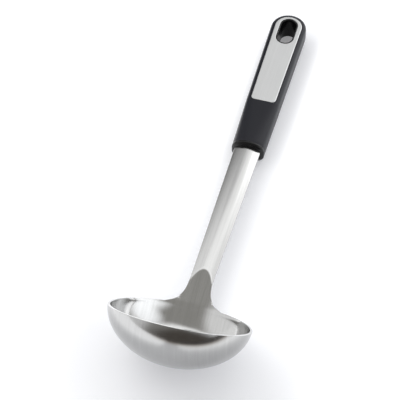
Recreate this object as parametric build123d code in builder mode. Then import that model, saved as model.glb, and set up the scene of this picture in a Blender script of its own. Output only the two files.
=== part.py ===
from build123d import *
import math
import os

os.makedirs("parts", exist_ok=True)

# Soup ladle, lying on its back with the bowl's mouth up. Millimetres.
# X runs across the ladle, Y from the bowl to the hanging end, Z up from the table.
# The origin is on the table, at the middle of the ladle's outline.

# Whole ladle
overall_length = 331.5
sheet = 1.6

# Bowl, measured on its outside
rim_radius = 45.0
bowl_depth = 31.0
length_share = 1.038
bowl_lean = 44.66
equator_rise = 2.0

# Neck, the flange that leaves the bowl's back wall
neck_bend_radius = 5.5
neck_lean = 30.2
neck_flange = 34.0
neck_half_width = 7.55
flare_radius = 20.0
flare_back = 1.4
rim_lift = 1.6
neck_end_reach = 51.4

# Stem, a strip that is arched across
stem_start_reach = 59.6
stem_start_half_width = 7.75
stem_end_half_width = 8.9
stem_start_crown = 14.6
stem_end_crown = 13.1
stem_arch_radius = 14.7

# Tang, the flat end of the strip inside the handle
tang_half_width = 6.0
tang_top = 12.5
tang_length = 66.0
rivet_radius = 2.0
rivet_head_radius = 3.5
rivet_head = 1.0
rivet_length = 4.4
rivet_spacing = 32.0
first_rivet_reach = 20.0

# Handle, measured back from the hanging end
handle_length = 122.8
handle_thickness = 16.4
widest_level = 8.0
lower_half_width = 11.15
middle_half_width = 11.6
upper_half_width = 12.35
lower_square = 2.35
middle_square = 5.5
upper_square = 7.0
back_square = 3.5
skin = 2.0
collar_reach = 3.0
collar_straight = 1.2
collar_taper = 1.8
collar_plug = 3.0

# Plate let into the handle's front
plate_thickness = 0.8
plate_rise = 0.1
plate_lower_reach = 85.2
plate_upper_reach = 3.4
plate_lower_half_width = 8.4
plate_upper_half_width = 9.3
plate_corner_radius = 3.0
plate_gap = 0.1
adhesive = 0.15
adhesive_inset = 0.6
pad_root = 3.0

# Hanging slot and its lining
slot_upper_reach = 5.3
slot_length = 24.2
slot_width = 12.5
lining = 1.0
lining_drop = 0.15
lining_lip = 2.0

# One overrun for every cut
overrun = 20.0

# Points along half of a handle section
section_steps = 18

# Places that follow from the sizes
lean = math.radians(bowl_lean)
bowl_height = bowl_depth + equator_rise
bowl_radius = rim_radius / math.sqrt(1 - (equator_rise / bowl_height) ** 2)
bowl_length = bowl_radius * length_share
lean_sine = math.sin(lean)
lean_cosine = math.cos(lean)
front_reach = math.hypot(bowl_length * lean_sine, bowl_height * lean_cosine) - equator_rise * lean_cosine
rim_height = math.hypot(bowl_length * lean_cosine, bowl_height * lean_sine) - equator_rise * lean_sine
tip_y = overall_length / 2
bowl_y = front_reach - overall_length / 2
neck_end_y = bowl_y + neck_end_reach
stem_start_y = bowl_y + stem_start_reach
grip_y = tip_y - handle_length
nose_y = grip_y - collar_reach
plug_y = grip_y + collar_plug
cap_y = tip_y - upper_half_width
middle_y = tip_y - plate_lower_reach
plate_top = handle_thickness + plate_rise
pad_top = plate_top - plate_thickness - adhesive
slot_y = tip_y - slot_upper_reach - slot_length / 2
tang_start_y = nose_y
tang_middle = tang_top - sheet / 2
rivet_places = [
    (0, plug_y + first_rivet_reach),
    (0, plug_y + first_rivet_reach + rivet_spacing),
]

bowl_plane = Plane(
    origin=(0, bowl_y, rim_height), x_dir=(1, 0, 0), z_dir=(0, lean_cosine, lean_sine)
)


def strip_section(y, half_width, crown):
    """Section of the arched strip at one place along the ladle."""
    drop = stem_arch_radius - math.sqrt(stem_arch_radius**2 - half_width**2)
    edge = crown - drop
    with BuildSketch(Plane.XZ.offset(-y)) as section:
        with BuildLine():
            ThreePointArc((-half_width, edge), (0, crown), (half_width, edge))
            Line((half_width, edge), (half_width, edge - sheet))
            ThreePointArc((half_width, edge - sheet), (0, crown - sheet), (-half_width, edge - sheet))
            Line((-half_width, edge - sheet), (-half_width, edge))
        make_face()
    return section.sketch


def half_section(y, half_width, crown, floor, square):
    """Right-hand outline of the handle at one place, rounded over by two superellipse quarters."""
    upper = crown - widest_level
    lower = widest_level - floor
    points = []
    for step in range(section_steps + 1):
        turn = math.pi / 2 - math.pi * step / section_steps
        reach = round(math.cos(turn), 9)
        rise = round(math.sin(turn), 9)
        power = square if rise >= 0 else back_square
        height = upper if rise >= 0 else lower
        level = math.copysign(abs(rise) ** (2 / power), rise) * height
        points.append((half_width * abs(reach) ** (2 / power), widest_level + level))
    return points


def handle_section(y, half_width, crown, floor, square):
    """Closed section of the handle across Y."""
    points = half_section(y, half_width, crown, floor, square)
    with BuildSketch(Plane.XZ.offset(-y)) as section:
        with BuildLine():
            Spline(points, tangents=[(1, 0), (-1, 0)])
            mirror(about=Plane.YZ)
        make_face()
    return section.sketch


def handle_form(inset):
    """The handle's outer form moved in by inset, from its lower end to its round end."""
    crown = handle_thickness - inset
    lower = handle_section(grip_y, lower_half_width - inset, crown, inset, lower_square)
    middle = handle_section(middle_y, middle_half_width - inset, crown, inset, middle_square)
    upper = handle_section(cap_y, upper_half_width - inset, crown, inset, upper_square)
    with BuildPart() as form:
        loft(sections=[lower, middle], ruled=True)
        loft(sections=[middle, upper], ruled=True)
        points = half_section(cap_y, upper_half_width - inset, crown, inset, upper_square)
        with BuildSketch(Plane.XZ.offset(-cap_y)):
            with BuildLine():
                half = Spline(points, tangents=[(1, 0), (-1, 0)])
                Line(half @ 1, half @ 0)
            make_face()
        revolve(axis=Axis((0, cap_y, 0), (0, 0, 1)), revolution_arc=180)
    return form.part


# Bowl wall turned about its own axis, running on into a flange that leaves the neck
with BuildLine(Plane.XZ) as wall_path:
    rim_angle = -math.degrees(math.asin(equator_rise / bowl_height))
    wall = EllipticalCenterArc(
        (0, equator_rise), bowl_radius, bowl_height, start_angle=-90, arc_size=90 + rim_angle
    )
    heading = math.degrees(math.atan2((wall % 1).Z, (wall % 1).X))
    bend = JernArc(wall @ 1, wall % 1, neck_bend_radius, 90 - neck_lean - heading)
    Line(bend @ 1, bend @ 1 + (bend % 1) * neck_flange)
    offset(wall_path.line, sheet, side=Side.RIGHT, mode=Mode.ADD)

with BuildPart() as bowl_turning:
    with BuildSketch(Plane.XZ):
        add(wall_path.line)
        make_face()
    revolve(axis=Axis.Z)
    scale(by=(1, length_share, 1))

# Plan outline of the neck, whose sides flare into the rim; it stands over the bowl's back half alone
flare_root = rim_radius - 2 * sheet
rim_back = rim_radius * length_share * lean_sine + flare_back
with BuildPart() as neck_prism:
    with BuildSketch() as neck_plan:
        with Locations((0, bowl_y)):
            Ellipse(flare_root, rim_back)
        with Locations((0, neck_end_y)):
            Rectangle(2 * neck_half_width, 2 * neck_end_reach)
        corners = neck_plan.vertices().filter_by(
            lambda corner: bowl_y < corner.Y < neck_end_y and abs(corner.X) < neck_half_width + sheet
        )
        fillet(corners, flare_radius)
    extrude(amount=rim_height, both=True)

# Everything above the rim goes, but for the neck; the rim rises slightly towards its back
lift_angle = math.degrees(math.atan2(rim_lift, rim_radius * length_share))
with BuildPart() as above_rim:
    with BuildSketch(bowl_plane):
        Rectangle(4 * rim_radius, 2 * rim_radius, align=(Align.CENTER, Align.MAX))
    with BuildSketch(bowl_plane.rotated((lift_angle, 0, 0))):
        Rectangle(4 * rim_radius, 2 * rim_radius, align=(Align.CENTER, Align.MIN))
    extrude(amount=2 * rim_radius)
    add(neck_prism.part, mode=Mode.SUBTRACT)

with BuildPart() as ladle_body:
    with Locations(bowl_plane.location):
        add(bowl_turning.part)
    add(above_rim.part, mode=Mode.SUBTRACT)
    split(bisect_by=Plane.XZ.offset(-neck_end_y), keep=Keep.TOP)
    neck_face = ladle_body.faces().filter_by(Axis.Y).sort_by(Axis.Y)[-1]
    stem_start = strip_section(stem_start_y, stem_start_half_width, stem_start_crown)
    stem_end = strip_section(plug_y, stem_end_half_width, stem_end_crown)
    loft(sections=[neck_face, stem_start], ruled=True)
    loft(sections=[stem_start, stem_end], ruled=True)
    with BuildSketch(Plane.XY.offset(tang_top - sheet)):
        with Locations((0, tang_start_y + tang_length / 2)):
            RectangleRounded(2 * tang_half_width, tang_length, tang_half_width / 2)
    extrude(amount=sheet)
    with Locations(*rivet_places):
        Hole(rivet_radius)

# Two rivets with sunk heads
with BuildPart() as tang_rivets:
    for place in rivet_places:
        with BuildSketch(Plane.XY.offset(tang_middle - rivet_length / 2)):
            with Locations((place[0], place[1])):
                Circle(rivet_radius)
        extrude(amount=rivet_length)
        for head_level in (tang_middle - rivet_length / 2, tang_middle + rivet_length / 2 - rivet_head):
            with BuildSketch(Plane.XY.offset(head_level)):
                with Locations((place[0], place[1])):
                    Circle(rivet_head_radius)
            extrude(amount=rivet_head)

# Outlines in plan of the plate and of the hanging slot
with BuildSketch() as plate_plan:
    with BuildLine():
        lower_y = tip_y - plate_lower_reach
        arc_y = tip_y - plate_upper_reach - plate_upper_half_width
        Polyline(
            (-plate_upper_half_width, arc_y),
            (-plate_lower_half_width, lower_y),
            (plate_lower_half_width, lower_y),
            (plate_upper_half_width, arc_y),
        )
        RadiusArc((-plate_upper_half_width, arc_y), (plate_upper_half_width, arc_y), plate_upper_half_width)
    make_face()
    fillet(plate_plan.vertices().group_by(Axis.Y)[0], plate_corner_radius)

with BuildSketch() as slot_plan:
    with Locations((0, slot_y)):
        SlotOverall(slot_length, slot_width, rotation=90)

with BuildPart() as slot_prism:
    add(slot_plan.sketch)
    extrude(amount=handle_thickness + overrun, both=True)

# The outer skin and what it covers are the same form, one inset from the other
outer_form = handle_form(0)
inner_form = handle_form(skin)

with BuildPart() as core_form:
    add(inner_form)
    split(bisect_by=Plane.XZ.offset(-plug_y), keep=Keep.BOTTOM)

with BuildPart() as plate_pad:
    with BuildSketch(Plane.XY.offset(pad_top - pad_root)):
        add(plate_plan.sketch)
    extrude(amount=pad_root)

with BuildPart() as core_front:
    add(core_form.part)
    split(bisect_by=Plane.XY.offset(tang_middle), keep=Keep.TOP)
    add(plate_pad.part)
    add(slot_prism.part, mode=Mode.SUBTRACT)
    add(ladle_body.part, mode=Mode.SUBTRACT)
    add(tang_rivets.part, mode=Mode.SUBTRACT)

with BuildPart() as core_back:
    add(core_form.part)
    split(bisect_by=Plane.XY.offset(tang_middle), keep=Keep.BOTTOM)
    add(slot_prism.part, mode=Mode.SUBTRACT)
    add(ladle_body.part, mode=Mode.SUBTRACT)
    add(tang_rivets.part, mode=Mode.SUBTRACT)

with BuildPart() as plate_pocket:
    with BuildSketch(Plane.XY.offset(pad_top - pad_root)):
        offset(plate_plan.sketch, plate_gap)
    extrude(amount=pad_root + overrun)

with BuildPart() as soft_grip:
    add(outer_form)
    add(inner_form, mode=Mode.SUBTRACT)
    add(plate_pocket.part, mode=Mode.SUBTRACT)
    add(slot_prism.part, mode=Mode.SUBTRACT)

# Black ring at the lower end: a plug inside the skin and a tapered nose outside it
with BuildPart() as end_collar:
    straight_y = grip_y - collar_straight
    nose_crown = handle_thickness - collar_taper
    nose_half_width = lower_half_width - collar_taper
    outer_section = handle_section(grip_y, lower_half_width, handle_thickness, 0, lower_square)
    straight_section = handle_section(straight_y, lower_half_width, handle_thickness, 0, lower_square)
    nose_section = handle_section(nose_y, nose_half_width, nose_crown, collar_taper, lower_square)
    loft(sections=[outer_section, straight_section], ruled=True)
    loft(sections=[straight_section, nose_section], ruled=True)
    add(inner_form)
    split(bisect_by=Plane.XZ.offset(-plug_y), keep=Keep.TOP)
    add(ladle_body.part, mode=Mode.SUBTRACT)

with BuildPart() as inlay_plate:
    with BuildSketch(Plane.XY.offset(plate_top - plate_thickness)):
        add(plate_plan.sketch)
        add(slot_plan.sketch, mode=Mode.SUBTRACT)
    extrude(amount=plate_thickness)

with BuildPart() as plate_adhesive:
    with BuildSketch(Plane.XY.offset(pad_top)):
        offset(plate_plan.sketch, -adhesive_inset)
        offset(slot_plan.sketch, adhesive_inset, mode=Mode.SUBTRACT)
    extrude(amount=adhesive)

# Lining of the hanging slot, trimmed to the handle's back, with a lip just below the plate's face
with BuildPart() as hanging_eyelet:
    add(slot_prism.part)
    add(outer_form, mode=Mode.INTERSECT)
    with BuildSketch(Plane.XY.offset(plate_top - lining_lip)):
        add(slot_plan.sketch)
    extrude(amount=lining_lip - lining_drop)
    with BuildSketch(Plane.XY.offset(-overrun)):
        offset(slot_plan.sketch, -lining)
    extrude(amount=handle_thickness + 2 * overrun, mode=Mode.SUBTRACT)
    with BuildSketch(Plane.XY.offset(plate_top - lining_drop)):
        Rectangle(overall_length, overall_length)
    extrude(amount=overrun, mode=Mode.SUBTRACT)

pieces = {
    "ladle_body": ladle_body,
    "tang_rivets": tang_rivets,
    "core_front": core_front,
    "core_back": core_back,
    "soft_grip": soft_grip,
    "end_collar": end_collar,
    "inlay_plate": inlay_plate,
    "plate_adhesive": plate_adhesive,
    "hanging_eyelet": hanging_eyelet,
}
for name, piece in pieces.items():
    piece.part.label = name
    export_step(piece.part, f"parts/{name}.step")
    print(name, len(piece.part.solids()), piece.part.is_valid, piece.part.bounding_box())
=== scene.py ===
"""Looks of the soup ladle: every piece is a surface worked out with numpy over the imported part.

Lengths in the classes are millimetres in the part's own frame: X across, Y from the bowl to the
hanging end, Z up from the table. They become metres when a mesh is made.
"""

import logging
import math
from dataclasses import dataclass
from enum import Enum

import bmesh
import bpy
import numpy as np
from mathutils import Matrix, Vector


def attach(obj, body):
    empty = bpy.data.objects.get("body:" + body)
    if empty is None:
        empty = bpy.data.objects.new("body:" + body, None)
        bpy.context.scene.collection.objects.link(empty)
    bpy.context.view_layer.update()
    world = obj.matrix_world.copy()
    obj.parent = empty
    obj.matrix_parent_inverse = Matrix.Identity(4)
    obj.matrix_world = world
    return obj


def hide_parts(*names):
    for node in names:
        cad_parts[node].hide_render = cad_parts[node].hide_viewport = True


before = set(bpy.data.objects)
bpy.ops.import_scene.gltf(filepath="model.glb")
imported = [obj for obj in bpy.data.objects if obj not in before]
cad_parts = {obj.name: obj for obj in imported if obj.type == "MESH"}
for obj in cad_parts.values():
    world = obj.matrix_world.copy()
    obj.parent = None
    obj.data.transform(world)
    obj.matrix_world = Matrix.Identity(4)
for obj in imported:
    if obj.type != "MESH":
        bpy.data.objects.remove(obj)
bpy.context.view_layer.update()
LOG = logging.getLogger("ladle")

METRE = 0.001
BODY = "root"
MERGE = 1e-6
LEAST = 1e-9
HALVINGS = 44
Array = np.ndarray
Piece = bpy.types.Object
Link = bpy.types.NodeSocket


def smooth_least(first: Array, second: Array, radius: float) -> Array:
    """The lesser of two heights, with a parabola where they differ by less than the radius."""
    mix = np.clip(0.5 + 0.5 * (second - first) / radius, 0.0, 1.0)
    return second * (1.0 - mix) + first * mix - radius * mix * (1.0 - mix)


def full_turn(count: int) -> Array:
    """Evenly spaced angles once round, anticlockwise from the right."""
    return np.linspace(0, 2 * math.pi, count, endpoint=False)


def unit(angle: Array | float) -> Array:
    """Unit vectors in a plane at angles from the right: cosine and sine."""
    return np.stack([np.cos(angle), np.sin(angle)], axis=-1)


def left_of(direction: Array) -> Array:
    """Unit vectors a quarter turn to the left of directions in a plane."""
    turned = np.stack([-direction[..., 1], direction[..., 0]], axis=-1)
    return turned / np.linalg.norm(turned, axis=-1, keepdims=True)


def between(start: Array, end: Array, steps: int) -> Array:
    """Evenly spaced points of a straight line, its two ends left out."""
    run = np.linspace(0, 1, steps)[1:-1, None]
    return start * (1 - run) + end * run


def stadium(angle: Array, radius: float, straight: float) -> Array:
    """Distance from a slot's centre to its edge: the straight side, or else the round end.

    Args:
        angle: Direction in plan from +X.
        radius: Half the slot's width.
        straight: Half the length of the straight sides, along Y.

    Returns:
        The distance in each direction.
    """
    across = np.maximum(np.abs(np.cos(angle)), LEAST)
    up = np.abs(np.sin(angle))
    side = radius / across
    end = straight * up + np.sqrt(np.maximum(radius**2 - (straight * np.cos(angle)) ** 2, 0.0))
    return np.where(side * up <= straight, side, end)


def add_object(name: str, data: bpy.types.ID) -> Piece:
    """Makes an object and links it to the scene.

    Args:
        name: Its name.
        data: Its mesh, camera or lamp.

    Returns:
        The object.
    """
    made = bpy.data.objects.new(name, data)
    bpy.context.scene.collection.objects.link(made)
    return made


@dataclass
class Skin:
    """Points and faces of one surface, gathered piece by piece and then turned into an object."""

    name: str
    total: int = 0

    def __post_init__(self) -> None:
        """Starts with no points and no faces."""
        self.points: list[Array] = []
        self.faces: list[list[int]] = []

    def add(self, points: Array | tuple) -> Array:
        """Adds points in millimetres.

        Args:
            points: Array whose last axis is x, y, z.

        Returns:
            Their indices, in the array's own shape.
        """
        flat = np.asarray(points, dtype=float).reshape(-1, 3)
        index = self.total + np.arange(len(flat))
        self.points.append(flat)
        self.total += len(flat)
        return index.reshape(np.shape(points)[:-1])

    def join(self, faces: Array, flip: bool = False) -> None:
        """Adds faces, the last axis going round each of them, and reverses them where asked."""
        faces = faces.reshape(-1, faces.shape[-1])
        self.faces.extend((faces[:, ::-1] if flip else faces).tolist())

    def band(self, first: Array, second: Array, flip: bool = False) -> None:
        """Adds the quads between two lines of indices, and reverses them where asked."""
        corners = [first[..., :-1], first[..., 1:], second[..., 1:], second[..., :-1]]
        self.join(np.stack(corners, axis=-1), flip)

    def grid(self, points: Array, around: bool = False, closed: bool = False,
             flip: bool = False) -> Array:
        """Adds a grid of points and the quads between them.

        Args:
            points: Array of rows, columns and x, y, z.
            around: True to join each row's end to its start.
            closed: True to join the last row to the first.
            flip: True to reverse each face.

        Returns:
            The points' indices, in rows and columns.
        """
        index = self.add(points)
        lines = np.concatenate([index, index[:, :1]], axis=1) if around else index
        lines = np.concatenate([lines, lines[:1]]) if closed else lines
        self.band(lines[:-1], lines[1:], flip)
        return index

    def fan(self, ring: Array, centre: tuple, flip: bool = False) -> None:
        """Closes a ring of indices with triangles to a new centre point, reversed where asked."""
        middle = np.full(len(ring), self.add(centre))
        self.join(np.stack([ring, np.roll(ring, -1), middle], axis=-1), flip)

    def make(self, merge: float = MERGE, sharp: float | None = None) -> Piece:
        """Makes the object in metres, merges points that meet and turns every face outwards.

        Args:
            merge: Distance in metres within which points are merged.
            sharp: Edges sharper than this many degrees stay sharp, or None for none.

        Returns:
            The new object, linked to the scene.
        """
        mesh = bpy.data.meshes.new(self.name)
        mesh.from_pydata((np.concatenate(self.points) * METRE).tolist(), [], self.faces)
        work = bmesh.new()
        work.from_mesh(mesh)
        bmesh.ops.remove_doubles(work, verts=work.verts, dist=merge)
        bmesh.ops.dissolve_degenerate(work, edges=work.edges, dist=merge)
        bmesh.ops.recalc_face_normals(work, faces=work.faces)
        work.to_mesh(mesh)
        work.free()
        mesh.polygons.foreach_set("use_smooth", np.ones(len(mesh.polygons), dtype=bool))
        mesh.update()
        if sharp is not None:
            mesh.set_sharp_from_angle(angle=math.radians(sharp))
        return add_object(self.name, mesh)


def bake_modifiers(piece: Piece) -> None:
    """Replaces a piece's mesh by the one its modifiers give, and drops the modifiers.

    Args:
        piece: The piece.
    """
    depsgraph = bpy.context.evaluated_depsgraph_get()
    mesh = bpy.data.meshes.new_from_object(piece.evaluated_get(depsgraph), depsgraph=depsgraph)
    piece.modifiers.clear()
    piece.data = mesh


@dataclass
class WallPath:
    """The bowl wall's outside in its own turning plane: an ellipse, a bend and a straight flange."""

    rim_radius: float = 45.0
    bowl_depth: float = 31.0
    equator_rise: float = 2.0
    bend_radius: float = 5.5
    neck_lean: float = 30.2
    flange: float = 60.0
    sheet: float = 1.6
    steps: tuple = (2400, 400, 800)

    def __post_init__(self) -> None:
        """Lays out both faces of the sheet as dense points, with their length along the outer one."""
        self.height = self.bowl_depth + self.equator_rise
        self.radius = self.rim_radius / math.sqrt(1 - (self.equator_rise / self.height) ** 2)
        last = -math.asin(self.equator_rise / self.height)
        turn = np.linspace(-math.pi / 2, last, self.steps[0])
        level = self.equator_rise + self.height * np.sin(turn)
        ellipse = np.stack([self.radius * np.cos(turn), level], axis=-1)
        start = math.atan2(self.height * math.cos(last), -self.radius * math.sin(last))
        heading = np.linspace(start, math.radians(90 - self.neck_lean), self.steps[1])
        bend = self.bend_radius * left_of(unit(heading))
        bend += ellipse[-1] - bend[0]
        run = np.linspace(0, self.flange, self.steps[2])[1:, None]
        self.outer = np.concatenate([ellipse, bend[1:], bend[-1] + run * unit(heading[-1])])
        self.inner = self.outer + self.sheet * left_of(np.gradient(self.outer, axis=0))
        pace = np.linalg.norm(np.diff(self.outer, axis=0), axis=1)
        self.length = np.concatenate([[0.0], np.cumsum(pace)])
        self.rim_length = float(self.length[len(ellipse) - 1])

    def at(self, along: Array, inside: bool = False) -> tuple[Array, Array]:
        """Distance from the turning axis and height over the rim, at lengths from the bottom."""
        path = self.inner if inside else self.outer
        return np.interp(along, self.length, path[:, 0]), np.interp(along, self.length, path[:, 1])


@dataclass
class Strip:
    """The arched strip of the stem: half-width, crown level and arch radius along the ladle."""

    start_half_width: float = 7.6
    end_half_width: float = 8.9
    start_crown: float = 14.6
    end_crown: float = 13.1
    arch_radius: float = 14.7
    arch_margin: float = 1.0
    start_y: float = -67.16
    end_y: float = 45.95

    def half_width(self, y: Array) -> Array:
        """Half the strip's width at y."""
        return np.interp(y, [self.start_y, self.end_y], [self.start_half_width, self.end_half_width])

    def level(self, x: Array, y: Array) -> Array:
        """Level of the arch: the crown, which falls evenly along y, less a circle's drop.

        Args:
            x: Distance across.
            y: Distance along the ladle.

        Returns:
            The level.
        """
        share = (y - self.start_y) / (self.end_y - self.start_y)
        crown = self.start_crown + (self.end_crown - self.start_crown) * share
        across = np.minimum(np.abs(x), self.arch_radius - self.arch_margin)
        return crown - (self.arch_radius - np.sqrt(self.arch_radius**2 - across**2))


@dataclass
class LadleSteel:
    """Bowl, neck, stem and tang: one sheet, its under face a turned wall running on into a strip."""

    overall_length: float = 331.49
    length_share: float = 1.038
    bowl_lean: float = 44.66
    rim_lift: float = 1.6
    flare_points: tuple = ((7.55, 52.2), (7.55, 33.25), (14.9, 34.35), (33.0, 23.25))
    seam_half_width: float = 12.0
    crease_radius: float = 0.35
    tang_top: float = 12.5
    tang_half_width: float = 6.0
    tang_start: float = 40.0
    tang_ease: float = 5.0
    tang_end: float = 105.95
    neck_run: float = 10.0
    wall_search: float = 14.0
    rim_search: tuple = (-5.0, 12.0)
    columns: int = 25
    rows: int = 84
    flare_steps: int = 400
    side_steps: int = 60
    rim_steps: int = 150
    strip_rows: tuple = (130, 60, 8, 12)
    row_gaps: tuple = (1.0, 3.0)
    edge: float = 0.3
    edge_faces: int = 3
    edge_angle: float = 40.0
    merge: float = 2e-6

    def __post_init__(self) -> None:
        """Works out where the bowl sits: its lowest point on the table and its front on the box."""
        self.path = WallPath()
        self.strip = Strip()
        self.sine = math.sin(math.radians(self.bowl_lean))
        self.cosine = math.cos(math.radians(self.bowl_lean))
        length, depth = self.path.radius * self.length_share, self.path.height
        rise = self.path.equator_rise
        front = math.hypot(length * self.sine, depth * self.cosine) - rise * self.cosine
        self.rim_height = math.hypot(length * self.cosine, depth * self.sine) - rise * self.sine
        self.bowl_y = front - self.overall_length / 2

    def place(self, turn: Array, along: Array, inside: bool = False) -> Array:
        """Points of the wall: turned about the bowl's axis, drawn out along the ladle, leant back.

        Args:
            turn: Angle round the bowl's axis from its back, in radians.
            along: Length along the wall from the bowl's bottom.
            inside: True for the inner face of the sheet.

        Returns:
            Array whose last axis is x, y, z.
        """
        radius, height = self.path.at(along, inside)
        back = self.length_share * radius * np.cos(turn)
        y = self.bowl_y + back * self.sine + height * self.cosine
        z = self.rim_height - back * self.cosine + height * self.sine
        return np.stack([radius * np.sin(turn), y, z], axis=-1)

    def locate(self, x: Array, y: Array, inside: bool = False) -> tuple[Array, Array]:
        """Finds the wall point over a place in plan, by halving along the bend and flange.

        Args:
            x: Distance across.
            y: Distance along the ladle.
            inside: True for the inner face of the sheet.

        Returns:
            Turn angle and length along the wall.
        """
        low = np.full(np.shape(y), self.path.rim_length - self.wall_search)
        high = np.full(np.shape(y), self.path.length[-1])
        for _ in range(HALVINGS):
            middle = 0.5 * (low + high)
            radius, height = self.path.at(middle, inside)
            reach = np.sqrt(np.maximum(radius**2 - x**2, 0.0))
            place = self.bowl_y + self.length_share * self.sine * reach + height * self.cosine
            low, high = np.where(place < y, (middle, high), (low, middle))
        radius, _ = self.path.at(high, inside)
        return np.arcsin(np.clip(x / radius, -1, 1)), high

    def rim_along(self, turn: Array) -> Array:
        """Length along the wall of the rim, which is flat at the front and lifts towards the back.

        Args:
            turn: Angle round the bowl's axis from its back, in radians.

        Returns:
            The length from the bowl's bottom.
        """
        slope = self.rim_lift / (self.path.rim_radius * self.length_share)
        low, high = (np.full(turn.shape, self.path.rim_length + span) for span in self.rim_search)
        for _ in range(HALVINGS):
            middle = 0.5 * (low + high)
            radius, height = self.path.at(middle)
            lift = slope * self.length_share * radius * np.maximum(np.cos(turn), 0.0)
            low, high = np.where(height < lift, (middle, high), (low, middle))
        return high

    def flare(self) -> tuple[Array, Array]:
        """The neck's outline in plan, a cubic Bezier curve from the neck's side to the rim.

        Returns:
            Half-width and y of dense points.
        """
        step = np.linspace(0, 1, self.flare_steps)[:, None]
        side, side_pull, rim_pull, rim = np.array(self.flare_points)
        curve = (
            (1 - step) ** 3 * side + 3 * step * (1 - step) ** 2 * side_pull
            + 3 * step**2 * (1 - step) * rim_pull + step**3 * rim
        )
        return curve[:, 0], curve[:, 1] + self.bowl_y

    def outline(self) -> tuple[Array, Array, float]:
        """The bowl patch's edge: seam line, right flare, rim round the front, left flare.

        Returns:
            Turn angles, lengths along the wall, and y of the seam.
        """
        wide, place = self.flare()
        seam_y = float(np.interp(self.seam_half_width, wide, place))
        across = np.linspace(-self.seam_half_width, self.seam_half_width, self.columns)
        seam = self.locate(across, np.full(self.columns, seam_y))
        width = np.linspace(self.seam_half_width, self.flare_points[-1][0], self.side_steps)[1:]
        side_turn, side_along = self.locate(width, np.interp(width, wide, place))
        above = side_along > self.rim_along(side_turn)
        last = int(np.argmin(above)) if not above.all() else len(above)
        front = np.linspace(side_turn[last - 1], math.pi, self.rim_steps)[1:]
        turns = np.concatenate([side_turn[:last], front])
        lengths = np.concatenate([side_along[:last], self.rim_along(front)])
        turn = np.concatenate([seam[0], turns, 2 * math.pi - turns[-2::-1]])
        return turn, np.concatenate([seam[1], lengths, lengths[-2::-1]]), seam_y

    def strip_level(self, x: Array, y: Array, inside: bool) -> Array:
        """Level of one face of the strip: the turned flange, cut off above by the arch of the stem.

        Args:
            x: Distance across.
            y: Distance along the ladle.
            inside: True for the top face, False for the under face.

        Returns:
            The level.
        """
        flange = self.place(*self.locate(x, y, inside), inside)[..., 2]
        drop = 0.0 if inside else self.path.sheet
        return smooth_least(self.strip.level(x, y) - drop, flange, self.crease_radius)

    def strip_points(self, seam_y: float) -> list[Array]:
        """Both faces of neck, stem and tang as grids of rows along the ladle.

        Args:
            seam_y: Where the strip leaves the bowl patch.

        Returns:
            Under face and top face, each of shape (rows, columns, 3).
        """
        stem_y, eased_y = self.strip.start_y + self.neck_run, self.tang_start + self.tang_ease
        neck_rows, stem_rows, ease_rows, tang_rows = self.strip_rows
        y = np.concatenate([
            np.linspace(seam_y, stem_y, neck_rows),
            np.linspace(stem_y, self.tang_start - self.row_gaps[0], stem_rows)[1:],
            np.linspace(self.tang_start, eased_y, ease_rows),
            np.linspace(eased_y + self.row_gaps[1], self.tang_end, tang_rows),
        ])
        wide, place = self.flare()
        half = np.where(y < self.strip.start_y, np.interp(-y, -place, wide), self.strip.half_width(y))
        ease = np.clip((y - self.tang_start) / self.tang_ease, 0, 1)
        ease = (ease * ease * (3 - 2 * ease))[:, None]
        half = half[:, None] * (1 - ease) + self.tang_half_width * ease
        x = half * np.linspace(-1, 1, self.columns)
        along = np.broadcast_to(y[:, None], x.shape)
        faces = []
        for inside, flat in ((False, self.tang_top - self.path.sheet), (True, self.tang_top)):
            level = self.strip_level(x, along, inside) * (1 - ease) + flat * ease
            faces.append(np.stack([x, along, level], axis=-1))
        return faces

    def build(self) -> Piece:
        """Joins the bowl patch and the strip patch into one closed sheet.

        Returns:
            The ladle's steel as one piece.
        """
        turn, along, seam_y = self.outline()
        lengths = np.linspace(0, 1, self.rows)[1:, None] * along
        turns = np.broadcast_to(turn, lengths.shape)
        walls = [self.place(turns, lengths, inside) for inside in (False, True)]
        strips = self.strip_points(seam_y)
        skin = Skin("ladle_steel")
        outer, inner = (skin.grid(wall, around=True, flip=bool(top)) for top, wall in enumerate(walls))
        bottom = np.zeros(1)
        skin.fan(outer[0], self.place(bottom, bottom)[0], flip=True)
        skin.fan(inner[0], self.place(bottom, bottom, inside=True)[0])
        skin.band(*(np.append(rows[-1, self.columns - 1:], rows[-1, 0]) for rows in (outer, inner)))
        for strip, wall in zip(strips, walls):
            strip[0] = wall[-1, : self.columns]
        below, above = (skin.grid(strip, flip=bool(top)) for top, strip in enumerate(strips))
        skin.band(below[:, 0], above[:, 0], flip=True)
        skin.band(below[:, -1], above[:, -1])
        skin.band(below[-1], above[-1])
        piece = skin.make(self.merge)
        self.soften(piece)
        return piece

    def soften(self, piece: Piece) -> None:
        """Rounds the sheet's sharp edges.

        Args:
            piece: The ladle's steel.
        """
        bevel = piece.modifiers.new("edges", "BEVEL")
        bevel.width = self.edge * METRE
        bevel.segments = self.edge_faces
        bevel.limit_method = "ANGLE"
        bevel.angle_limit = math.radians(self.edge_angle)
        bevel.use_clamp_overlap = False
        bevel.harden_normals = True
        bake_modifiers(piece)


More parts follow.
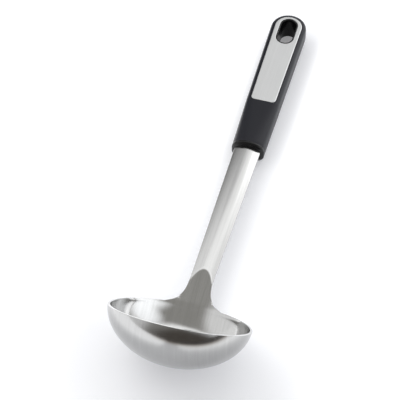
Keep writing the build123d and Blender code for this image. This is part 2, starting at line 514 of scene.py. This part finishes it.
@dataclass
class HandleForm:
    """The handle's outer form: superellipse sections that turn squarer towards the hanging end."""

    tip_y: float = 165.75
    grip_y: float = 42.95
    middle_y: float = 80.55
    cap_y: float = 153.4
    thickness: float = 16.4
    widest_level: float = 8.0
    half_widths: tuple = (11.15, 11.6, 12.35)
    squares: tuple = (2.35, 5.5, 7.0)
    back_square: float = 3.5
    back_gap: float = 0.02
    back_limit: float = 0.999
    slot_y: float = 148.35
    slot_radius: float = 6.25
    slot_straight: float = 5.85

    def section(self, turn: Array, index: int, inset: float = 0.0) -> Array:
        """Section across the handle: each quarter is |x/a|^p + |z/b|^p = 1, by its angle.

        Args:
            turn: Angle from the right, anticlockwise.
            index: Which of the three set sections.
            inset: How far the section is moved in.

        Returns:
            Array of x and z.
        """
        reach, rise = np.cos(turn), np.sin(turn)
        power = 2 / np.where(rise >= 0, self.squares[index], self.back_square)
        height = np.where(rise >= 0, self.thickness - self.widest_level - inset, self.widest_level - inset)
        x = (self.half_widths[index] - inset) * np.sign(reach) * np.abs(reach) ** power
        z = self.widest_level + height * np.sign(rise) * np.abs(rise) ** power
        return np.stack([x, z], axis=-1)

    def ring(self, turn: Array, y: float, inset: float = 0.0) -> Array:
        """Points of the section at y, blended straight between the set sections on both sides.

        Args:
            turn: Angles round the section.
            y: Place along the ladle.
            inset: How far the section is moved in.

        Returns:
            Array of x, y, z.
        """
        places = (self.grip_y, self.middle_y, self.cap_y)
        index = 0 if y < self.middle_y else 1
        share = (y - places[index]) / (places[index + 1] - places[index])
        before, after = (self.section(turn, index + step, inset) for step in (0, 1))
        return np.insert(before * (1 - share) + after * share, 1, y, axis=-1)

    def back_level(self, x: Array, y: Array) -> Array:
        """Level of the handle's back near the slot: its superellipse at the distance from the axis."""
        share = np.minimum(
            np.hypot(x, np.maximum(y - self.cap_y, 0.0)) / self.half_widths[-1], self.back_limit)
        return self.widest_level * (1 - (1 - share**self.back_square) ** (1 / self.back_square))

    def slot_ring(self, angle: Array, grow: float, level: float | None) -> Array:
        """Ring of the hanging slot's outline, moved out.

        Args:
            angle: Directions from the slot's centre.
            grow: How far it is moved out.
            level: Its level, or None to follow the handle's back.

        Returns:
            Array of x, y, z.
        """
        reach = stadium(angle, self.slot_radius + grow, self.slot_straight)
        x, y = reach * np.cos(angle), self.slot_y + reach * np.sin(angle)
        z = self.back_level(x, y) + self.back_gap if level is None else np.full(len(angle), level)
        return np.stack([x, y, z], axis=-1)


@dataclass
class SoftGrip:
    """The handle's soft skin, shown as its closed outer form with the hanging slot through it."""

    form: HandleForm
    around: int = 160
    lower_rows: int = 34
    upper_rows: int = 62
    cap_rows: int = 49
    lip: tuple = (0.9, 0.45, 0.12)
    slot_steps: int = 96
    cut_levels: tuple = (-5.0, 25.0)
    merge: float = 4e-6
    sharp: float = 35.0

    def build(self) -> Piece:
        """Tube of sections, closed at its lower end, with a turned round end; the slot is cut out.

        Returns:
            The grip as one piece.
        """
        form = self.form
        turn = full_turn(self.around) + math.pi / 2
        places = np.concatenate([
            np.linspace(form.grip_y, form.middle_y, self.lower_rows)[1:],
            np.linspace(form.middle_y, form.cap_y, self.upper_rows)[1:],
        ])
        rings = [form.ring(turn, form.grip_y, inset) for inset in self.lip]
        rings += [form.ring(turn, float(y)) for y in places]
        skin = Skin("grip_skin")
        tube = skin.grid(np.array(rings), around=True)
        skin.fan(tube[0], (0.0, form.grip_y, form.widest_level))
        half = np.linspace(math.pi / 2, -math.pi / 2, self.around // 2 + 1)
        flat = form.section(half, -1)
        swing = np.linspace(0, math.pi, self.cap_rows)[:, None]
        x = flat[:, 0] * np.cos(swing)
        y = form.cap_y + flat[:, 0] * np.sin(swing)
        skin.grid(np.stack([x, y, np.broadcast_to(flat[:, 1], x.shape)], axis=-1))
        piece = skin.make(self.merge)
        self.cut_slot(piece)
        return piece

    def cut_slot(self, piece: Piece) -> None:
        """Cuts the hanging slot through the grip with a prism of the slot's outline.

        Args:
            piece: The uncut grip.
        """
        angle = full_turn(self.slot_steps)
        prism = Skin("slot_cutter")
        rings = [self.form.slot_ring(angle, 0.0, level) for level in self.cut_levels]
        lower, upper = prism.grid(np.array(rings), around=True)
        prism.join(lower, flip=True)
        prism.join(upper)
        cutter = prism.make()
        boolean = piece.modifiers.new("slot", "BOOLEAN")
        boolean.operation = "DIFFERENCE"
        boolean.solver = "EXACT"
        boolean.object = cutter
        bake_modifiers(piece)
        bpy.data.objects.remove(cutter)
        piece.data.set_sharp_from_angle(angle=math.radians(self.sharp))


@dataclass
class Collar:
    """Black ring at the handle's lower end: straight, then tapered to a flat nose round the stem.

    Each station is a distance from the grip's end, towards the hanging end, and an inset.
    """

    form: HandleForm
    stations: tuple = (
        (3.0, 2.1), (0.3, 2.1), (0.3, 0.6), (0.0, 0.25), (-0.15, 0.06), (-0.4, 0.0), (-1.2, 0.0),
        (-1.55, 0.08), (-2.0, 0.38), (-2.55, 1.38), (-2.88, 1.78), (-3.0, 2.25), (-3.0, 4.0), (-3.0, 5.2),
    )
    around: int = 160
    sharp: float = 38.0

    def build(self) -> Piece:
        """Rings from inside the skin to the nose, then in to the middle of the nose.

        Returns:
            The collar as one piece.
        """
        turn, form = full_turn(self.around), self.form
        rings = [np.insert(form.section(turn, 0, inset), 1, form.grip_y + shift, axis=-1)
                 for shift, inset in self.stations]
        skin = Skin("collar_ring")
        tube = skin.grid(np.array(rings), around=True)
        skin.fan(tube[-1], (0.0, form.grip_y + self.stations[-1][0], form.widest_level), flip=True)
        skin.fan(tube[0], (0.0, form.grip_y + self.stations[0][0], form.widest_level))
        return skin.make(sharp=self.sharp)


@dataclass
class Plate:
    """The bright plate let into the handle's front, with a bevelled edge and the slot through it.

    The bevel's rings are shares of it, inwards and down. The slot's are outwards and down.
    """

    form: HandleForm
    top: float = 16.5
    thickness: float = 0.8
    lower_reach: float = 85.2
    upper_reach: float = 3.4
    lower_half_width: float = 8.4
    upper_half_width: float = 9.3
    corner: float = 3.0
    bevel: float = 0.42
    bevel_rings: tuple = ((0.0, 1.0), (0.10, 0.55), (0.55, 0.10), (1.0, 0.0))
    face_margin: float = 0.3
    slot_rings: tuple = ((0.55, 0.0), (0.28, 0.0), (0.1, 0.06), (0.02, 0.25), (0.02, 0.8))
    cap_steps: int = 97
    corner_steps: int = 15
    side_steps: int = 60
    base_steps: int = 14
    sharp: float = 50.0

    def plan(self) -> Array:
        """Outline in plan: tapered sides, rounded lower corners and a half circle at the top.

        Returns:
            Points in order, anticlockwise, each x and y.
        """
        low = self.form.tip_y - self.lower_reach
        arc_y = self.form.tip_y - self.upper_reach - self.upper_half_width
        cap = unit(np.linspace(0, math.pi, self.cap_steps)) * self.upper_half_width + [0, arc_y]
        lean = math.atan2(self.upper_half_width - self.lower_half_width, arc_y - low)
        inset = self.corner / math.tan(math.pi / 4 + lean / 2)
        centre = np.array([self.lower_half_width - inset, low + self.corner])
        corner = centre + self.corner * unit(np.linspace(-math.pi / 2, -lean, self.corner_steps))
        left = corner[::-1] * [-1, 1]
        return np.concatenate([
            corner, between(corner[-1], cap[0], self.side_steps), cap,
            between(cap[-1], left[0], self.side_steps), left, between(left[-1], corner[0], self.base_steps),
        ])

    def build(self) -> Piece:
        """Rings from the outer foot over the bevel, across the face, down the slot and back below.

        Returns:
            The plate as one piece.
        """
        plan = self.plan()
        inward = left_of(np.roll(plan, -1, axis=0) - np.roll(plan, 1, axis=0))
        angle = np.arctan2(plan[:, 1] - self.form.slot_y, plan[:, 0])
        edge = [(0.0, self.thickness)]
        edge += [(self.bevel * inset, self.bevel * drop) for inset, drop in self.bevel_rings]
        edge.append((self.bevel + self.face_margin, 0.0))
        rings = [np.insert(plan + inward * inset, 2, self.top - drop, axis=-1) for inset, drop in edge]
        rings += [self.form.slot_ring(angle, grow, self.top - drop) for grow, drop in self.slot_rings]
        skin = Skin("plate_face")
        skin.grid(np.array(rings), around=True, closed=True)
        return skin.make(sharp=self.sharp)


@dataclass
class SlotLining:
    """The hanging slot's black lining, a tube of the slot's outline with a rounded lip.

    Each station is how far the ring is moved out, and its level or None for the handle's back.
    """

    form: HandleForm
    gap: float = 0.02
    stations: tuple = (
        (0.0, None), (0.0, 4.0), (0.0, 9.0), (0.0, 14.0), (0.0, 16.23), (-0.12, 16.35), (-0.62, 16.35),
        (-0.88, 16.23), (-1.0, 15.93), (-1.0, 13.0), (-1.0, 9.0), (-1.0, 4.0), (-1.0, None),
    )
    steps: int = 120
    sharp: float = 50.0

    def build(self) -> Piece:
        """Rings up the outside, over the lip and down the inside, the foot following the back.

        Returns:
            The lining as one piece.
        """
        angle = full_turn(self.steps)
        rings = [self.form.slot_ring(angle, grow - self.gap, level) for grow, level in self.stations]
        skin = Skin("slot_lining")
        skin.grid(np.array(rings), around=True, closed=True)
        return skin.make(sharp=self.sharp)


class Socket:
    """A number in a node tree; sums and products written with it add Math nodes."""

    def __init__(self, graph: "Graph", output: Link) -> None:
        """Keeps the graph and the socket that carries the number."""
        self.graph = graph
        self.output = output

    def math(self, operation: str, first: "Socket | float", second: "Socket | float") -> "Socket":
        """The result of one Math node on two numbers."""
        node = self.graph.node("ShaderNodeMath", {0: first, 1: second}, operation=operation)
        return Socket(self.graph, node.outputs[0])

    def __add__(self, other: "Socket | float") -> "Socket":
        """Sum."""
        return self.math("ADD", self, other)

    def __sub__(self, other: "Socket | float") -> "Socket":
        """Difference."""
        return self.math("SUBTRACT", self, other)

    def __rsub__(self, other: float) -> "Socket":
        """Difference, turned round."""
        return self.math("SUBTRACT", other, self)

    def __mul__(self, other: "Socket | float") -> "Socket":
        """Product."""
        return self.math("MULTIPLY", self, other)

    __radd__ = __add__
    __rmul__ = __mul__


WHITE = (1.0, 1.0, 1.0)


@dataclass(frozen=True)
class Fade:
    """A change to another glow as the reach along a direction goes over a span, in metres or cosine."""

    direction: tuple
    span: tuple
    level: float
    tint: tuple = WHITE
    kind: str = "SMOOTHSTEP"


class Graph:
    """The nodes of one material, card or sky."""

    def __init__(self, name: str, owner: bpy.types.ID | None = None) -> None:
        """Starts an empty tree for a new material of that name, or for the owner given."""
        self.material = owner or bpy.data.materials.new(name)
        self.material.use_nodes = True
        self.tree = self.material.node_tree
        self.tree.nodes.clear()

    def node(self, kind: str, inputs: dict | None = None, **settings: object) -> bpy.types.Node:
        """Adds a node, sets its settings and then feeds its sockets.

        Args:
            kind: The node's type.
            inputs: Socket name or number to a value or a link.
            settings: Attributes set first; stops gives a ramp's places and colours.

        Returns:
            The node.
        """
        made = self.tree.nodes.new(kind)
        for key, value in settings.items():
            if key == "stops":
                ramp = made.color_ramp.elements
                while len(ramp) < len(value):
                    ramp.new(0.5)
                for element, (place, colour) in zip(ramp, value):
                    element.position = place
                    element.color = colour
            else:
                setattr(made, key, value)
        for key, value in (inputs or {}).items():
            value = value.output if isinstance(value, Socket) else value
            if isinstance(value, Link):
                self.tree.links.new(value, made.inputs[key])
            else:
                made.inputs[key].default_value = value
        return made

    def object_place(self, scale: tuple = WHITE, turn: tuple = (0, 0, 0), shift: tuple = (0, 0, 0)) -> Link:
        """Object coordinates, scaled, turned and shifted for a pattern.

        Args:
            scale: Repeats per metre along each axis.
            turn: Turn in radians.
            shift: Shift after scaling.

        Returns:
            The mapped vector.
        """
        source = self.node("ShaderNodeTexCoord").outputs["Object"]
        inputs = {"Vector": source, "Scale": scale, "Rotation": turn, "Location": shift}
        return self.node("ShaderNodeMapping", inputs).outputs[0]

    def along(self, vector: Link, direction: tuple) -> Link:
        """How far a vector reaches along a direction: their dot product."""
        made = self.node("ShaderNodeVectorMath", {0: vector, 1: direction}, operation="DOT_PRODUCT")
        return made.outputs["Value"]

    def noise(self, vector: Link, scale: float, texture: tuple) -> Socket:
        """A noise value from 0 to 1 over a vector; the texture gives its detail and roughness."""
        inputs = {"Vector": vector, "Scale": scale, "Detail": texture[0], "Roughness": texture[1]}
        return Socket(self, self.node("ShaderNodeTexNoise", inputs).outputs[0])

    def ramp(self, value: "Socket | Link", span: tuple, kind: str = "SMOOTHSTEP") -> Socket:
        """A share that goes from 0 to 1 as a value goes over a span, and is held at its ends."""
        inputs = {"Value": value, "From Min": span[0], "From Max": span[1], "To Min": 0.0, "To Max": 1.0}
        return Socket(self, self.node("ShaderNodeMapRange", inputs, interpolation_type=kind).outputs[0])

    def blend(self, factor: Socket, first: tuple | Link, second: tuple | Link) -> Link:
        """A colour between two, the factor being the second one's share."""
        ends = [(*end, 1.0) if isinstance(end, tuple) else end for end in (first, second)]
        return self.node("ShaderNodeMix", {0: factor, 6: ends[0], 7: ends[1]}, data_type="RGBA").outputs[2]

    def lay(self, place: Link, colour: tuple | Link, fades: tuple[Fade, ...]) -> Link:
        """Lays glows over a colour, one after another.

        Args:
            place: The vector that each fade measures along its direction.
            colour: The colour below them.
            fades: The glows.

        Returns:
            The last colour.
        """
        for fade in fades:
            share = self.ramp(self.along(place, fade.direction), fade.span, fade.kind)
            colour = self.blend(share, colour, glow(fade.level, fade.tint))
        return colour

    def bump(self, height: Socket, strength: float, distance: float) -> Link:
        """A normal bent by a height from 0 to 1, which stands for a distance in metres."""
        inputs = {"Height": height, "Strength": strength, "Distance": distance}
        return self.node("ShaderNodeBump", inputs).outputs[0]

    def finish(self, inputs: dict) -> bpy.types.Material:
        """Adds the Principled shader and the output.

        Args:
            inputs: Socket name to value or link.

        Returns:
            The material.
        """
        shader = self.node("ShaderNodeBsdfPrincipled", inputs)
        self.node("ShaderNodeOutputMaterial", {"Surface": shader.outputs[0]})
        return self.material


BRUSHING = (4.0, 0.6)
FINE = (2.0, 0.5)
CLOUD = (3.0, 0.5)
PAPER = (2.0, 0.55)


class Grain(Enum):
    """Which way a metal's brushing runs: its repeats per metre along X, Y and Z."""

    ALONG = (900.0, 14.0, 14.0)
    ACROSS = (18.0, 900.0, 900.0)


@dataclass(frozen=True)
class BrushedMetal:
    """Brushed steel: fine stretched lines in colour, roughness and height, and broad faint clouding.

    With a second pair of colours (dull and bright), the faces turned away from the axis get a darker colour,
    which is painted shade for the dim table they mirror, and a little more roughness for their satin finish.
    """

    name: str
    bright: tuple
    dull: tuple
    roughness: float
    spread: float
    grain: Grain
    satin_and_shade: tuple = ()
    axis: tuple = (0.0, 0.711, 0.703)
    outside_shade_span: tuple = (0.03, -0.02)
    satin_roughness: float = 0.04
    depth: float = 0.000004
    strength: float = 0.25
    fineness: float = 3.1
    line_share: float = 0.65
    contrast: float = 1.6
    clouding: float = 0.5
    cloud_scale: float = 38.0

    def dress(self) -> bpy.types.Material:
        """Builds the material from two stretched noises for the brushing and a wide one for clouding.

        Returns:
            The material.
        """
        graph = Graph(self.name)
        lines = graph.noise(graph.object_place(self.grain.value), 1.0, BRUSHING)
        finer = tuple(repeats * self.fineness for repeats in self.grain.value)
        fine = graph.noise(graph.object_place(finer), 1.0, FINE)
        cloud = graph.noise(graph.object_place(), self.cloud_scale, CLOUD) - 0.5
        mark = lines * self.line_share + fine * (1 - self.line_share)
        line = mark - 0.5
        share = 0.5 + self.contrast * line + self.clouding * cloud
        colour = graph.blend(share, self.dull, self.bright)
        rough = self.roughness + self.spread * line + self.spread * self.clouding * cloud
        if self.satin_and_shade:
            # Painted shade: faces turned away from the bowl's axis (the bowl's outside and the under faces)
            # get darker colours for the shadowed table they mirror; the added roughness is their satin
            # finish.
            normals = graph.node("ShaderNodeTexCoord").outputs["Normal"]
            outside = graph.ramp(graph.along(normals, self.axis), self.outside_shade_span)
            colour = graph.blend(outside, colour, graph.blend(share, *self.satin_and_shade))
            rough = rough + self.satin_roughness * outside
        normal = graph.bump(mark, self.strength, self.depth)
        return graph.finish({"Base Color": colour, "Metallic": 1.0, "Roughness": rough, "Normal": normal})


@dataclass(frozen=True)
class Moulded:
    """Moulded plastic or rubber: a fine pebbled skin, slight clouding and duller or shinier patches."""

    name: str
    dark: tuple
    light: tuple
    roughness: float
    spread: float
    pebbles: float
    depth: float
    gloss: float = 0.5
    strength: float = 0.3
    cloud_share: float = 0.6
    cloud_scale: float = 60.0

    def dress(self) -> bpy.types.Material:
        """Builds the material from a pebble noise and a cloud noise.

        Returns:
            The material.
        """
        graph = Graph(self.name)
        place = graph.object_place()
        pebble = graph.noise(place, self.pebbles, FINE)
        cloud = graph.noise(place, self.cloud_scale, CLOUD)
        share = cloud * self.cloud_share + pebble * (1 - self.cloud_share)
        rough = self.roughness + self.spread * (pebble - 0.5) + self.spread * (cloud - 0.5)
        return graph.finish({
            "Base Color": graph.blend(share, self.dark, self.light), "Metallic": 0.0, "Roughness": rough,
            "Normal": graph.bump(pebble, self.strength, self.depth), "Specular IOR Level": self.gloss,
        })


LADLE_FINISH = BrushedMetal(
    "ladle_steel", (0.55, 0.55, 0.546), (0.45, 0.45, 0.446), 0.14, 0.09, Grain.ALONG,
    # Darker pair: painted shade for the outside and under faces.
    satin_and_shade=((0.345, 0.345, 0.343), (0.435, 0.435, 0.433)),
)
PLATE_FINISH = BrushedMetal(
    "plate_steel", (0.625, 0.63, 0.632), (0.54, 0.545, 0.547), 0.46, 0.12, Grain.ALONG,
)
RIVET_FINISH = BrushedMetal("rivet_steel", (0.62, 0.62, 0.62), (0.5, 0.5, 0.5), 0.4, 0.1, Grain.ACROSS)
GRIP_FINISH = Moulded(
    "grip_rubber", (0.0035, 0.004, 0.008), (0.0055, 0.0062, 0.0115), 0.38, 0.08, 2600.0, 0.00002, 0.26,
)
BLACK_FINISH = Moulded(
    "black_plastic", (0.0025, 0.0025, 0.003), (0.004, 0.004, 0.0045), 0.26, 0.08, 1800.0, 0.000008, 0.28,
)
CORE_FINISH = Moulded("core_plastic", (0.07, 0.07, 0.075), (0.09, 0.09, 0.095), 0.62, 0.10, 900.0, 0.00002)
FILM_FINISH = Moulded("adhesive_film", (0.62, 0.60, 0.52), (0.7, 0.68, 0.6), 0.5, 0.10, 500.0, 0.00001)


def put(piece: Piece, finish: bpy.types.Material, slot: str, *nodes: str) -> None:
    """Dresses a piece, lets it ride on the ladle and stand for its CAD nodes.

    Args:
        piece: The piece.
        finish: Its material.
        slot: Name of a material slot; not used.
        nodes: The CAD nodes that it replaces.
    """
    piece.data.materials.clear()
    piece.data.materials.append(finish)
    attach(piece, BODY)
    if nodes:
        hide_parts(*nodes)
    LOG.info("%s: %d faces", piece.name, len(piece.data.polygons))


def glow(level: float, tint: tuple = WHITE) -> tuple:
    """A colour of light: the tint times the level."""
    return tuple(level * part for part in tint)


def sky_area(bearing: float, height: float, near: float, far: float, level: float,
             tint: tuple = WHITE) -> Fade:
    """A disc on the sky, its share going from 1 inside the near angle to 0 outside the far one.

    Args:
        bearing: Bearing of its middle from +Y towards +X, in degrees like the next three.
        height: Height of its middle.
        near: Angle from the middle.
        far: Angle from the middle.
        level: Its glow.
        tint: The glow's colour.

    Returns:
        The disc as a fade over the cosine of the angle.
    """
    swing, lift, near, far = (math.radians(angle) for angle in (bearing, height, near, far))
    middle = (math.sin(swing) * math.cos(lift), math.cos(swing) * math.cos(lift), math.sin(lift))
    return Fade(middle, (math.cos(far), math.cos(near)), level, tint)


@dataclass(frozen=True)
class Card:
    """A card that only the mirror images show: its corners in millimetres, its glow and its fades."""

    name: str
    corners: tuple
    level: float
    fades: tuple


CARDS = (
    Card("left_card", (((-250, -100, 0), (-250, 1400, 2000)), ((-250, 900, 0), (-250, 2400, 2000))), 1.26,
         (Fade((0, 1, -0.75), (0.03, 0.19), 0.30, kind="LINEAR"), Fade((0, 0, 1), (0.25, 1.90), 1.43))),
    Card("right_card", (((250, 36, 60), (250, 372, 620)), ((250, 836, 60), (250, 1172, 620))), 1.28,
         (Fade((0, 1, -0.6), (0.07, 0.27), 2.9, kind="LINEAR"), Fade((0, 0, 1), (0.45, 0.62), 1.67))),
    Card("top_card", (((-250, 330, 600), (-250, 1200, 600)), ((300, 330, 600), (300, 1200, 600))), 0.65,
         (Fade((1, 0, 0), (-0.24, 0.24), 1.6), Fade((0, 1, 0), (0.56, 0.42), 1.58))),
)
WARM = (1.0, 0.88, 0.77)
COOL = (0.965, 0.98, 1.0)
SKY_GLOW = glow(0.425, (1.0, 0.98, 0.93))
SKY_AREAS = (
    sky_area(-92.0, 9.0, 35.0, 59.0, 1.14),
    sky_area(-8.0, 41.0, 28.0, 36.0, 1.41),
    sky_area(10.0, 50.0, 2.0, 30.0, 1.67),
    sky_area(69.0, 28.0, 2.0, 35.0, 1.82, COOL),
    sky_area(113.0, -3.0, 6.0, 58.0, 2.23, COOL),
    sky_area(160.0, -21.0, 32.0, 60.0, 0.12, WARM),
)


@dataclass
class Table:
    """The white shooting table: its reach and level in millimetres, its pattern in metres."""

    reach: float = 2500.0
    front: float = -450.0
    level: float = -0.05
    lines: int = 3
    turn: float = -35.0
    front_shade_span: tuple = (-0.33, -0.225)
    cloud_scale: float = 3.0
    clouding: float = 0.03
    # Paper colours from dark to pale; the dark end is painted shade for the light falling off towards the
    # front.
    stops: tuple = (
        (0.0, (0.060, 0.052, 0.045, 1.0)),
        (0.45, (0.36, 0.30, 0.24, 1.0)),
        (1.0, (0.795, 0.805, 0.83, 1.0)),
    )
    even_glow: tuple = (0.22, 0.22, 0.228)
    far_glow: float = 0.95
    glow_shift: tuple = (-0.003, 0.14, 0.0)
    glow_span: tuple = (0.004, 0.020)
    beside_span: tuple = (0.0002, 0.0010)
    roughness: float = 0.9
    gloss: float = 0.1

    def build(self) -> None:
        """Lays the table just under the ladle and gives it its paper.

        The paper is pale up to a slanting line across the front. Beyond it is painted shade, dark for the
        light falling off towards the front, which the bowl's outside mirrors. Its glow rises with the squared
        distance from a point under the bowl and the squared distance across.
        """
        skin = Skin("floor")
        x, y = np.meshgrid(np.linspace(-self.reach, self.reach, self.lines),
                           np.linspace(self.front, self.reach, self.lines), indexing="ij")
        skin.grid(np.stack([x, y, np.full_like(x, self.level)], axis=-1), flip=True)
        made = skin.make()
        graph = Graph("floor_paper_and_shade")
        cloud = graph.noise(graph.object_place(), self.cloud_scale, PAPER)
        turned = graph.object_place(turn=(0.0, 0.0, math.radians(self.turn)))
        # Painted shade: the paper turns dark beyond a slanting line across the front, for the light falling
        # off there, which the bowl's outside mirrors.
        pale = graph.ramp(graph.along(turned, (0, 1, 0)), self.front_shade_span)
        tone = pale + self.clouding * (cloud - 0.5)
        paper_and_front_shade = graph.node("ShaderNodeValToRGB", {0: tone}, stops=self.stops)
        split = graph.node("ShaderNodeSeparateXYZ", {0: graph.object_place(shift=self.glow_shift)})
        across, along = (Socket(graph, split.outputs[i]) for i in (0, 1))
        away = graph.ramp(across * across + along * along, self.glow_span)
        beside = graph.ramp(across * across, self.beside_span)
        even = graph.blend(pale, glow(0.0), self.even_glow)
        light = graph.blend(away * beside * pale, even, glow(self.far_glow))
        made.data.materials.append(graph.finish({
            "Base Color": paper_and_front_shade.outputs[0], "Roughness": self.roughness, "Specular IOR Level": self.gloss,
            "Emission Color": light, "Emission Strength": 1.0,
        }))


@dataclass
class Studio:
    """White table, soft light and the camera at the photograph's viewing angle."""

    elevation: float = 50.14
    azimuth: float = 14.31
    roll: float = 1.33
    distance: float = 1467.0
    focal_share: float = 2260.9 / 400.0
    sensor: float = 36.0
    clip_end: float = 20.0
    target: tuple = (0.0, -16.6, 14.5)
    side_shift: float = -16.615
    rise_shift: float = 5.858
    lamp_place: tuple = (-0.7, 0.2, 0.9)
    lamp_size: float = 0.9
    lamp_power: float = 3.6
    lamp_tint: tuple = (1.0, 0.995, 0.985)

    def camera(self) -> None:
        """Makes the camera, its axes worked out from azimuth, elevation and roll."""
        lift, swing, roll = (math.radians(a) for a in (self.elevation, self.azimuth, self.roll))
        back = np.array([math.sin(swing) * math.cos(lift), -math.cos(swing) * math.cos(lift), math.sin(lift)])
        level = np.cross(-back, [0, 0, 1])
        level /= np.linalg.norm(level)
        above = np.cross(level, -back)
        right = level * math.cos(roll) + above * math.sin(roll)
        up = above * math.cos(roll) - level * math.sin(roll)
        place = np.array(self.target) + back * self.distance + right * self.side_shift + up * self.rise_shift
        data = bpy.data.cameras.new("camera")
        data.sensor_width = self.sensor
        data.sensor_fit = "HORIZONTAL"
        data.lens = self.focal_share * self.sensor
        data.clip_end = self.clip_end
        made = add_object("camera", data)
        turn = Matrix([list(right), list(up), list(back)]).transposed().to_4x4()
        made.matrix_world = Matrix.Translation(Vector(place * METRE)) @ turn
        bpy.context.scene.camera = made

    def world(self) -> None:
        """Soft sky: an even level with broad areas laid over it one after another."""
        world = bpy.data.worlds.new("studio")
        bpy.context.scene.world = world
        graph = Graph("studio", world)
        colour = graph.lay(graph.node("ShaderNodeTexCoord").outputs["Generated"], SKY_GLOW, SKY_AREAS)
        light = graph.node("ShaderNodeBackground", {"Color": colour, "Strength": 1.0})
        graph.node("ShaderNodeOutputWorld", {"Surface": light.outputs[0]})

    def lamp(self) -> None:
        """A wide soft lamp that lights table and handle but isn't mirrored in the steel."""
        data = bpy.data.lights.new("softbox", "AREA")
        data.shape = "DISK"
        data.size = self.lamp_size
        data.energy = self.lamp_power
        data.color = self.lamp_tint
        made = add_object("softbox", data)
        place = Vector(self.lamp_place)
        made.location = place
        made.rotation_euler = (-place).to_track_quat("-Z", "Y").to_euler()
        made.visible_glossy = False

    def card(self, card: Card) -> None:
        """Puts up a glowing card and keeps it out of all but the mirror images.

        Args:
            card: Its place and glow.
        """
        skin = Skin(card.name)
        skin.grid(np.array(card.corners))
        made = skin.make()
        graph = Graph(card.name)
        colour = graph.lay(graph.object_place(), glow(card.level), card.fades)
        light = graph.node("ShaderNodeEmission", {"Color": colour, "Strength": 1.0})
        graph.node("ShaderNodeOutputMaterial", {"Surface": light.outputs[0]})
        made.data.materials.append(graph.material)
        made.visible_diffuse = False
        made.visible_shadow = False
        made.visible_camera = False

    def build(self) -> None:
        """Camera, table and light."""
        self.camera()
        Table().build()
        self.world()
        self.lamp()
        for card in CARDS:
            self.card(card)
        bpy.context.scene.view_settings.view_transform = "Standard"


def main() -> None:
    """Builds every piece in order, dresses it and reports it."""
    logging.basicConfig(level=logging.INFO)
    Studio().build()
    form = HandleForm()
    black = BLACK_FINISH.dress()
    put(LadleSteel().build(), LADLE_FINISH.dress(), "ladle_steel", "ladle_body")
    put(SoftGrip(form).build(), GRIP_FINISH.dress(), "grip_rubber", "soft_grip")
    put(Collar(form).build(), black, "collar_plastic", "end_collar")
    put(Plate(form).build(), PLATE_FINISH.dress(), "plate_steel", "inlay_plate")
    put(SlotLining(form).build(), black, "lining_plastic", "hanging_eyelet")
    core = CORE_FINISH.dress()
    hidden = {"core_front": core, "core_back": core, "tang_rivets": RIVET_FINISH.dress(),
              "plate_adhesive": FILM_FINISH.dress()}
    for name, finish in hidden.items():
        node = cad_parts[name]
        for index in range(len(node.material_slots)):
            node.material_slots[index].material = finish
        LOG.info("%s keeps its solid", name)


if __name__ == "__main__":
    main()
